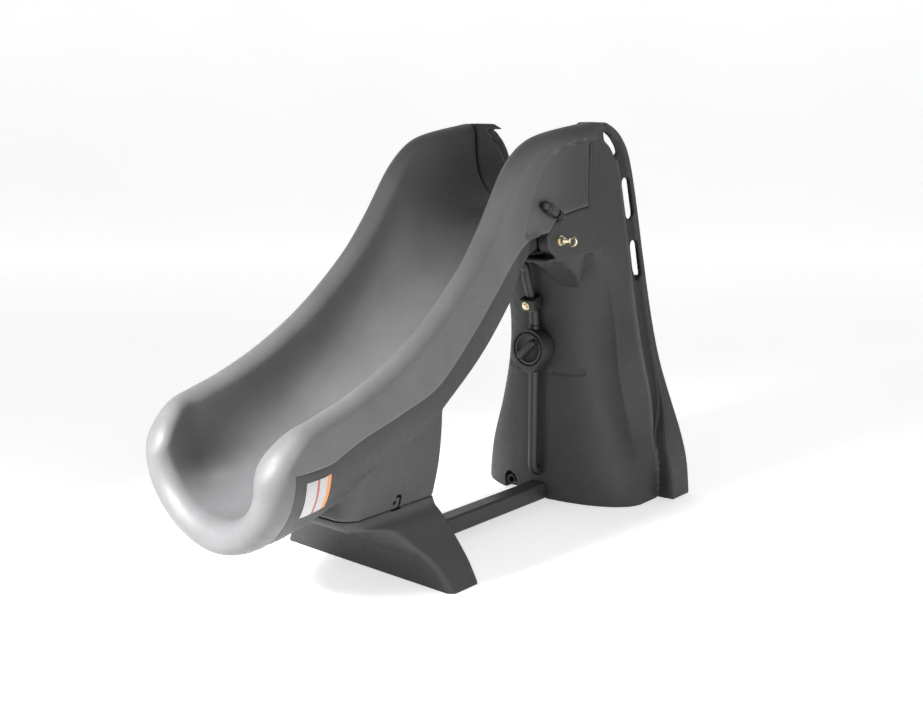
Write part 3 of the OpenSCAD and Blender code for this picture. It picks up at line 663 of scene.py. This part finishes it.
bead_w = Curve([(0, 116), (200, 108), (330, 56), (450, 32), (600, 24), (1180, 22), (1268, 12)], 10)
bead_rise = Curve([(0, 64), (200, 50), (330, 24), (450, 14), (1268, 10)], 10)
rail_front = Curve([(770, 82), (1100, 78), (1180, 92), (1250, 96)], 10)


def tower_ring(z):
    yf, yr, w, rw, d = front_y(z), rear_y(z), front_w(z), rear_w(z), front_depth(z)
    strip, bead, inset = yr - strip_w(z), yr - bead_w(z), rw - bead_rise(z)
    half = [(w * math.sin(math.radians(a)), yf + d * (1 - math.cos(math.radians(a))))
            for a in range(3, 91, 3)]
    half += [(max(w, inset + 8), strip - 6), (inset, strip), (inset, bead - 4), (rw - 3, bead),
             (rw, bead + 4), (rw, yr - 8), (rw - 3, yr - 2), (rw - 10, yr)]
    full = [(0.0, yf)] + half + [(0.0, yr)] + [(-x, y) for x, y in half[::-1]]
    return [(x, y, z) for x, y in full]


levels = list(np.arange(0, 1180, 10.0)) + list(np.arange(1180, 1266, 4.0)) + [1268]
tower = loft("tower_moulding", [tower_ring(z) for z in levels])


TOP_SLOT = [(826, 1226), (829, 1227), (842, 1221), (857, 1213), (872, 1202), (885, 1189),
            (896, 1173), (898, 1169)]

# Ears that carry the pivot, with the shelf below them
ear_side = [(603 + 53 * math.cos(math.radians(a)), 922 + 53 * math.sin(math.radians(a)))
            for a in np.linspace(92, 258, 30)]
ear_side += [(800, 862), (885, 866), (885, 1012), (744, 1010), (700, 1004), (632, 992), (612, 984)]
parts = []
for s in (-1, 1):
    x0, x1 = sorted((201 * s, 243 * s))
    parts.append(prism_x("ear", ear_side, x0, x1))
    rings = []
    for k in range(25):
        t = k / 24.0
        y = 558 + (812 - 558) * t
        low = 849 - 104 * max(0.0, (y - 585) / 225) ** 1.7 if y > 585 else 849
        outer = 242 - 40 * max(0.0, (y - 700) / 112) ** 2 if y > 700 else 242
        rim = 872 if y > 590 else 861.5
        ring = [(110, 861.5), (199, 861.5), (201, rim), (outer, rim), (outer, 855),
                (outer - 22, low), (110, low)]
        rings.append([(x * s, y, z) for x, z in ring])
    parts.append(loft("shelf", rings))
cut(tower, parts, "UNION")

well = []
for z in [-5] + list(np.arange(40, 960, 40.0)) + [968]:
    f = rear_y(max(z, 0)) - 190
    well.append([(112, f, z), (168, f + 64, z), (168, 1300, z),
                 (-168, 1300, z), (-168, f + 64, z), (-112, f, z)])
seat_half = bowl(196, 1200, 1000, 2.6, 4, 90, 24)
seat = [(0, 1000)] + seat_half + [(196, 1400), (-196, 1400)] + mirrored(seat_half)
tools = [loft("well", well), prism_y("seat_channel", seat, 600, 1300)]
slot_run = 51.0 * 0.97
for s in (-1, 1):
    x0, x1 = sorted((150 * s, 410 * s))
    for z in (824, 1028):
        a = (rear_y(z + slot_run) - 42, z + slot_run)
        b = (rear_y(z - slot_run) - 42, z - slot_run)
        tools.append(prism_x("slot", capsule(a, b, 17), x0, x1))
    tools.append(prism_x("slot", stroke(TOP_SLOT, 13.5), x0, x1))
    # Behind the ladder well each cheek is only a web with a bead along its edge
    rail = []
    for z in np.arange(770, 1251, 20.0):
        y0, x1 = rear_y(z) - rail_front(z), rear_w(z) - bead_rise(z) - 9
        rail.append([(x * s, y, z) for x, y in ((x1, y0), (x1, 1300), (150, 1300), (150, y0))])
    tools.append(loft("rail_pocket", rail))
cut(tower, tools)
voxel_smooth(tower, 0.0042, 5)
for v in tower.data.vertices:
    v.co.z = max(v.co.z, 0.0)
    # Shallow grip groove with round ends on each side of the water pipe
    x, z = abs(v.co.x) / MM, v.co.z / MM
    if v.co.y < 0.6 and 40 < x < 162 and abs(z - 451.5) < 14:
        d = (11.5 - math.hypot(x - min(max(x, 55), 147), z - 451.5)) / 4.5
        if d > 0:
            d = min(d, 1.0)
            v.co.y += 0.004 * d * d * (3 - 2 * d)


def turned_bore(name, x, y0, y1, z, r, segments=48):
    spin = Matrix.Translation(pt(x, y0, z)) @ Matrix.Rotation(math.radians(-90), 4, "X")
    return lathe(name, [(0, 0), (r, 0), (r, y1 - y0), (0, y1 - y0)], spin, segments)


# Arched recess of the hose inlet, the tube's opening and the pipe's hole
arch = [(-131 + 33 * math.cos(math.radians(a)), 35 + 33 * math.sin(math.radians(a)))
        for a in np.linspace(0, 180, 24)]
arch = [(-98, -5)] + arch + [(-164, -5)]
tools = [prism_y("recess", arch, 780, 905), box_mesh("tube_opening", (-29.6, 780, -5), (29.6, 1000.6, 58.6)),
         turned_bore("pipe_hole", 0, 830, 930, 100, 17.1)]
for k in (1, 2, 3):
    z = 250.0 * k
    f = rear_y(z) - 190
    tools.append(box_mesh("tread_seat", (-180.3, f + 3.7, z - 30.3), (180.3, f + 124.3, z + 0.3)))
cut(tower, tools)
shade(tower, 50)
clamp_to_cad(tower, "tower_shell")

# Painted shade darkens the recessed strips, a painted highlight lightens the ridge in front of them, and
# painted shade darkens the edges round the slots
slot_lines = [((rear_y(z + slot_run) - 42, z + slot_run), (rear_y(z - slot_run) - 42, z - slot_run))
              for z in (824, 1028)] + list(zip(TOP_SLOT[1:-1], TOP_SLOT[2:]))
tint = tower.data.attributes.new("tint", "FLOAT", "POINT")
values = []
for v in tower.data.vertices:
    x, y, z = abs(v.co.x) / MM, v.co.y / MM + MID, v.co.z / MM
    value, strip, bead = 1.0, rear_y(z) - strip_w(z), rear_y(z) - bead_w(z)
    if x > 225 and z < 1215:
        painted_ridge_highlight = math.exp(-((y - strip + 7) / 6.0) ** 2)
        value = 1.0 + 1.1 * painted_ridge_highlight
        if strip + 1 < y < bead - 1:
            value = 0.62
    if x > 215 and z > 750:
        near = 99.0
        for (ay, az), (by, bz) in slot_lines:
            run = (by - ay) ** 2 + (bz - az) ** 2
            t = max(0, min(1, ((y - ay) * (by - ay) + (z - az) * (bz - az)) / run))
            near = min(near, math.hypot(y - ay - t * (by - ay), z - az - t * (bz - az)))
        # Painted shade on the slot walls and round their edges
        if near < (20.5 if z < 1120 else 16.5):
            value = 0.22
    values.append(value)
tint.data.foreach_set("value", values)


# ---------------------------------------------------------------- water line
def tube(name, path, r, segments=28, ends=1.5):
    """Round hose or pipe along a smoothed path of (x, y, z) points in millimetres, with eased ends."""
    pts = [Vector(p) for p in path]
    fine = []
    for i in range(len(pts) - 1):
        a, b = pts[max(i - 1, 0)], pts[min(i + 2, len(pts) - 1)]
        p0, p1 = pts[i], pts[i + 1]
        m0, m1 = (p1 - a) * 0.5, (b - p0) * 0.5
        for k in range(12):
            t = k / 12
            fine.append(p0 * (2 * t**3 - 3 * t**2 + 1) + m0 * (t**3 - 2 * t**2 + t)
                        + p1 * (3 * t**2 - 2 * t**3) + m1 * (t**3 - t**2))
    fine.append(pts[-1])
    side = Vector((1, 0, 0))
    rings = []
    for i, c in enumerate(fine):
        d = (fine[min(i + 1, len(fine) - 1)] - fine[max(i - 1, 0)]).normalized()
        e = d.cross(side).normalized()
        f = e.cross(d).normalized()
        rr = r - ends if i in (0, len(fine) - 1) else r
        ring = [tuple(c + (f * math.cos(q) + e * math.sin(q)) * rr)
                for q in (2 * math.pi * k / segments for k in range(segments))]
        if i == 0:
            rings += [ring, [tuple(Vector(p) + (Vector(p) - c).normalized() * ends + d * ends) for p in ring]]
        elif i == len(fine) - 1:
            rings += [[tuple(Vector(p) + (Vector(p) - c).normalized() * ends - d * ends) for p in ring], ring]
        else:
            rings.append(ring)
    return loft(name, rings, 40)


PIPE_Y, PIPE_R, VALVE_Z, ELBOW_Z, BEND = 812.0, 16.5, 531.0, 100.0, 28.0
bend_pts = [(0, PIPE_Y + BEND - BEND * math.cos(math.radians(a)),
             ELBOW_Z + BEND - BEND * math.sin(math.radians(a)))
            for a in (0, 15, 30, 45, 60, 75, 90)]
lower_pipe = tube("lower_pipe_run", [(0, PIPE_Y, 452), (0, PIPE_Y, 300), (0, PIPE_Y, 150)] + bend_pts
                  + [(0, 880, ELBOW_Z), (0, 924, ELBOW_Z)], PIPE_R)
tilt = math.radians(19)


def on_hose(along):
    return (0, 796 - along * math.sin(tilt), 686 + along * math.cos(tilt))


upper_pipe = tube("upper_pipe_run",
                  [(0, PIPE_Y, 607.5), (0, PIPE_Y, 619), on_hose(-36), on_hose(-23.5)], PIPE_R)
hose_route = [on_hose(-22), on_hose(30), on_hose(90), on_hose(128), (0, 716, 836), (0, 712, 851.5)]
hose = tube("flume_hose_run", hose_route, PIPE_R - 1)
for ob, node in ((lower_pipe, "lower_pipe"), (upper_pipe, "upper_pipe"), (hose, "flume_hose")):
    clamp_to_cad(ob, node)

# Valve housing: a round drum whose sides run down to the pipe, eased all round
drum = []
for a in range(-32, 213, 5):
    drum.append((66 * math.cos(math.radians(a)), VALVE_Z + 66 * math.sin(math.radians(a))))
drum += [(-42, VALVE_Z - 56), (-24, VALVE_Z - 74), (-19, VALVE_Z - 80),
         (19, VALVE_Z - 80), (24, VALVE_Z - 74), (42, VALVE_Z - 56)]
housing = prism_y("valve_housing_moulding", drum, 776, 831.5)
neck = lathe("neck", [(0, 0), (19, 0), (19, 34), (17.5, 36), (0, 36)],
             Matrix.Translation(pt(0, PIPE_Y, VALVE_Z + 40)), 36)
cut(housing, [neck], "UNION")
ring_cut = turned_bore("dial_well", 0, 775, 790, VALVE_Z, 58)
stem_cut = turned_bore("stem_bore", 0, 780, 816, VALVE_Z, 8.05)
cut(housing, [ring_cut, stem_cut])
bevel(housing, 0.0035, 3, 30)
clamp_to_cad(housing, "valve_housing")

# Dial: a shallow bowl with a raised grip bar across it, turned half way to the side
face = [(0, 0), (50, 0), (53, 1.2), (54, 4), (54, 12), (0, 12)]
spin = Matrix.Translation(pt(0, 776, VALVE_Z)) @ Matrix.Rotation(math.radians(-90), 4, "X")
dial = lathe("valve_dial_knob", face, spin, 72)
bowl_cut = lathe("bowl", [(0, -3), (46, -3), (44, 3.5), (38, 7), (20, 8.4), (0, 8.4)], spin, 64)
cut(dial, [bowl_cut])
bar = []
GRIP_LAYERS = [(13, 46, 8.6), (13, 45, 0), (12.4, 43.5, -12), (11, 41.5, -18), (8.5, 39, -21), (5.5, 36, -22)]
for k, (w, l, d) in enumerate(GRIP_LAYERS):
    ring = []
    for cx, cz, a0 in ((l - w, 0, -90), (-(l - w), 0, 90)):
        for a in np.linspace(a0, a0 + 180, 13):
            px = cx + w * math.cos(math.radians(a))
            pz = cz + w * math.sin(math.radians(a))
            ca, sa = math.cos(math.radians(45)), math.sin(math.radians(45))
            ring.append((px * ca - pz * sa, 776 + d, VALVE_Z + px * sa + pz * ca))
    bar.append(ring)
grip = loft("grip", bar)
cut(dial, [grip], "UNION")
bevel(dial, 0.0012, 2, 30)
clamp_to_cad(dial, "valve_dial")

# Clamp with eased corners round the hose
saddle_turn = Matrix.Translation(pt(0, 796, 686)) @ Matrix.Rotation(tilt, 4, "X")
saddle_outline = [(-29, -21), (29, -21), (29, 21), (-29, 21)]
saddle = new_object("clamp_block", [(x * MM, y * MM, z * MM) for y in (-30, 18) for x, z in saddle_outline],
                    [(0, 1, 2, 3), (7, 6, 5, 4), (0, 4, 5, 1), (1, 5, 6, 2), (2, 6, 7, 3), (3, 7, 4, 0)])
outward(saddle)
groove = lathe("g", [(0, -30), (16.6, -30), (16.6, 30), (0, 30)], Matrix.Identity(4), 40)
hole = lathe("h", [(0, 0), (5.1, 0), (5.1, 13), (0, 13)],
             Matrix.Translation((-0.003, -0.0315, 0)) @ Matrix.Rotation(math.radians(-90), 4, "X"), 24)
cut(saddle, [groove, hole])
bevel(saddle, 0.004, 3, 30)
saddle.data.transform(saddle_turn)
clamp_to_cad(saddle, "clamp_saddle")

# ---------------------------------------------------------------- label
label_rings = []
for y in np.linspace(-446, -366, 25):
    arc_out = bowl(body_w(y) + 1.3, band_h(y), under_h(y) - 1.3, body_power(y), 84, 60, 12)
    arc_in = bowl(body_w(y) + 0.7, band_h(y), under_h(y) - 0.7, body_power(y), 84, 60, 12)[::-1]
    label_rings.append([(x, y, z) for x, z in arc_out + arc_in])
label = loft("printed_label", label_rings, 40)
clamp_to_cad(label, "safety_label")


def label_build(tree, bsdf):
    """Pale film with a red line, an orange edge and faint grey ruled lines that form no letters."""
    link = tree.links.new
    where = add(tree, "ShaderNodeTexCoord")
    sep = add(tree, "ShaderNodeSeparateXYZ")
    link(where.outputs["Object"], sep.inputs[0])
    front, back = pt(0, -446, 0)[1], pt(0, -366, 0)[1]
    along = add(tree, "ShaderNodeMapRange", in_1=front, in_2=back, in_3=0.0, in_4=1.0)
    link(sep.outputs["Y"], along.inputs[0])
    ramp = add(tree, "ShaderNodeValToRGB")
    ramp.color_ramp.interpolation = "CONSTANT"
    e = ramp.color_ramp.elements
    e[0].position, e[0].color = 0.0, (0.46, 0.46, 0.45, 1)
    e[1].position, e[1].color = 0.44, (0.42, 0.03, 0.012, 1)
    for pos, col in ((0.53, (0.46, 0.46, 0.45, 1)), (0.84, (0.72, 0.24, 0.012, 1))):
        n = e.new(pos)
        n.color = col
    link(along.outputs[0], ramp.inputs[0])
    rows = add(tree, "ShaderNodeTexWave", wave_type="BANDS", bands_direction="Z")
    rows.inputs["Scale"].default_value = 75.0
    rows.inputs["Distortion"].default_value = 1.2
    rows.inputs["Detail Scale"].default_value = 40.0
    link(where.outputs["Object"], rows.inputs["Vector"])
    broken = add(tree, "ShaderNodeTexNoise")
    broken.inputs["Scale"].default_value = 210.0
    link(where.outputs["Object"], broken.inputs["Vector"])
    both = add(tree, "ShaderNodeMath", operation="MULTIPLY")
    link(rows.outputs["Fac"], both.inputs[0])
    link(broken.outputs["Fac"], both.inputs[1])
    ink = add(tree, "ShaderNodeMapRange", in_1=0.2, in_2=0.42, in_3=0.0, in_4=0.7)
    link(both.outputs[0], ink.inputs[0])
    mix = add(tree, "ShaderNodeMix", data_type="RGBA")
    mix.inputs["B"].default_value = (0.2, 0.2, 0.2, 1)
    link(ink.outputs[0], mix.inputs["Factor"])
    link(ramp.outputs["Color"], mix.inputs["A"])
    link(mix.outputs["Result"], bsdf.inputs["Base Color"])
    shine = add(tree, "ShaderNodeMapRange", in_1=0.0, in_2=1.0, in_3=0.3, in_4=0.45)
    link(broken.outputs["Fac"], shine.inputs[0])
    link(shine.outputs[0], bsdf.inputs["Roughness"])
    bump = add(tree, "ShaderNodeBump")
    bump.inputs["Strength"].default_value = 0.1
    bump.inputs["Distance"].default_value = 0.0003
    link(broken.outputs["Fac"], bump.inputs["Height"])
    link(bump.outputs[0], bsdf.inputs["Normal"])


label_mat = material("label_film", label_build)

# ---------------------------------------------------------------- pivot and small hardware
PIVOT = (612.0, 915.0)
THREAD_R, THREAD_ROOT_R, THREAD_PITCH = 6.3, 5.6, 1.8
EYE_R, EYE_WIRE_R, EYE_X = 12.5, 4.15, 276.0 + 11.5
small = []
for s, side in ((1, "right"), (-1, "left")):
    spin = Matrix.Translation(pt(0, PIVOT[0], PIVOT[1])) @ Matrix.Rotation(math.radians(90 * s), 4, "Y")
    thread = [(0, 160), (THREAD_R, 160), (THREAD_R, 244)]
    h = 256.0
    while h < 275:
        thread += [(THREAD_R, h), (THREAD_ROOT_R, h + THREAD_PITCH / 2), (THREAD_R, h + THREAD_PITCH)]
        h += THREAD_PITCH
    thread += [(THREAD_ROOT_R, 276), (0, 276)]
    bolt = lathe("bolt", thread, spin, 36, 50)
    verts, faces = [], []
    n1, n2 = 48, 16
    for i in range(n1):
        a = 2 * math.pi * i / n1
        for k in range(n2):
            b = 2 * math.pi * k / n2
            r = EYE_R + EYE_WIRE_R * math.cos(b)
            verts.append(pt(s * (EYE_X + r * math.cos(a)), PIVOT[0] + EYE_WIRE_R * math.sin(b),
                            PIVOT[1] + r * math.sin(a)))
            faces.append((i * n2 + k, ((i + 1) % n1) * n2 + k, ((i + 1) % n1) * n2 + (k + 1) % n2,
                          i * n2 + (k + 1) % n2))
    eye = new_object("eye", verts, faces)
    outward(eye)
    cut(bolt, [eye], "UNION")
    bolt.name = "eyebolt_" + side
    shade(bolt, 40)
    clamp_to_cad(bolt, "pivot_eyebolt_" + side)
    small.append((bolt, "pivot_eyebolt_" + side, zinc_mat, "zinc"))

assign = [
    (flume, ["flume_shell"], flume_mat, "flume", "slide"),
    (body, ["flume_body"], body_mat, "body", "slide"),
    (foot, ["front_foot"], foot_mat, "foot", "slide"),
    (tower, ["tower_shell"], tower_mat, "tower", "slide"),
    (lower_pipe, ["lower_pipe"], pipe_mat, "pipe", "slide"),
    (upper_pipe, ["upper_pipe"], pipe_mat, "pipe", "slide"),
    (hose, ["flume_hose"], pipe_mat, "pipe", "slide"),
    (housing, ["valve_housing"], valve_mat, "valve", "slide"),
    (dial, ["valve_dial"], valve_mat, "valve", "dial"),
    (saddle, ["clamp_saddle"], black_mat, "black", "slide"),
    (label, ["safety_label"], label_mat, "label", "slide"),
]
assign += [(ob, [node], mat, slot, "slide") for ob, node, mat, slot in small]
for ob, stands_for, mat, slot, rider in assign:
    ob.data.materials.clear()
    ob.data.materials.append(mat)
    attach(ob, rider)
    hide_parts(*stands_for)

carried = {
    "spine_tube": tube_mat,
    "ladder_tread_1": tread_mat, "ladder_tread_2": tread_mat, "ladder_tread_3": tread_mat,
    "pivot_nuts": zinc_mat, "pivot_washers": zinc_mat, "hook_screws": screw_mat, "inlet_fitting": black_mat,
    "inlet_hose_washer": rubber_mat, "valve_stem": black_mat,
    "clamp_bolt": zinc_mat, "clamp_washer": zinc_mat, "hose_tail": black_mat,
    "spray_nozzle": black_mat, "coupling_elbow": valve_mat, "coupling_body": valve_mat,
    "coupling_collar": rubber_mat, "coupling_tail": black_mat,
}
for name, mat in carried.items():
    nodes[name].data.materials.clear()
    nodes[name].data.materials.append(mat)

# ---------------------------------------------------------------- stage
FLOOR_GLOW, WORLD_LIGHT = 0.46, 0.36


def stage_build(tree, bsdf):
    link = tree.links.new
    where = add(tree, "ShaderNodeTexCoord")
    cloud = add(tree, "ShaderNodeTexNoise")
    cloud.inputs["Scale"].default_value = 0.6
    link(where.outputs["Object"], cloud.inputs["Vector"])
    tone = add(tree, "ShaderNodeMapRange", in_1=0.3, in_2=0.7, in_3=0.93, in_4=0.96)
    link(cloud.outputs["Fac"], tone.inputs[0])
    grey = add(tree, "ShaderNodeCombineColor")
    for k in range(3):
        link(tone.outputs[0], grey.inputs[k])
    link(grey.outputs[0], bsdf.inputs["Base Color"])
    bsdf.inputs["Roughness"].default_value = 0.9
    bsdf.inputs["Specular IOR Level"].default_value = 0.0
    bsdf.inputs["Emission Color"].default_value = (1, 1, 1, 1)
    bsdf.inputs["Emission Strength"].default_value = FLOOR_GLOW


stage_mat = material("stage_paper", stage_build)
v, f = [], []
profile = [(-14, 0), (9, 0)] + [(9 + 4 * math.sin(math.radians(a)), 4 - 4 * math.cos(math.radians(a)))
                                for a in range(6, 91, 6)] + [(13, 16)]
for i, (d, z) in enumerate(profile):
    for side in (-24, 24):
        base = Vector((-math.sin(AZ), math.cos(AZ), 0)) * d + right * side
        v.append((base.x, base.y, z))
for i in range(len(profile) - 1):
    f.append((2 * i, 2 * i + 1, 2 * i + 3, 2 * i + 2))
floor = new_object("stage_floor", v, f)
floor.data.materials.append(stage_mat)

world = bpy.data.worlds.new("studio")
world.use_nodes = True
world.node_tree.nodes["Background"].inputs["Color"].default_value = (1, 1, 1, 1)
world.node_tree.nodes["Background"].inputs["Strength"].default_value = WORLD_LIGHT
scene.world = world


def area(name, at, target, size, power):
    data = bpy.data.lights.new(name, "AREA")
    data.energy = power
    data.size = size
    ob = bpy.data.objects.new(name, data)
    scene.collection.objects.link(ob)
    ob.location = at
    aim = Vector(target) - Vector(at)
    ob.rotation_euler = aim.to_track_quat("-Z", "Y").to_euler()
    return ob


area("front_left", (-1.15, -2.55, 0.85), (0, -0.75, 0.38), 1.1, 16)
key = area("lip_key", (-0.35, -2.9, 1.75), (0, -0.88, 0.40), 0.8, 18)
key.data.spread = math.radians(40)
area("right_side", (3.2, -1.6, 1.2), (0, -0.1, 0.5), 2.0, 60)
scene.view_settings.view_transform = "Standard"
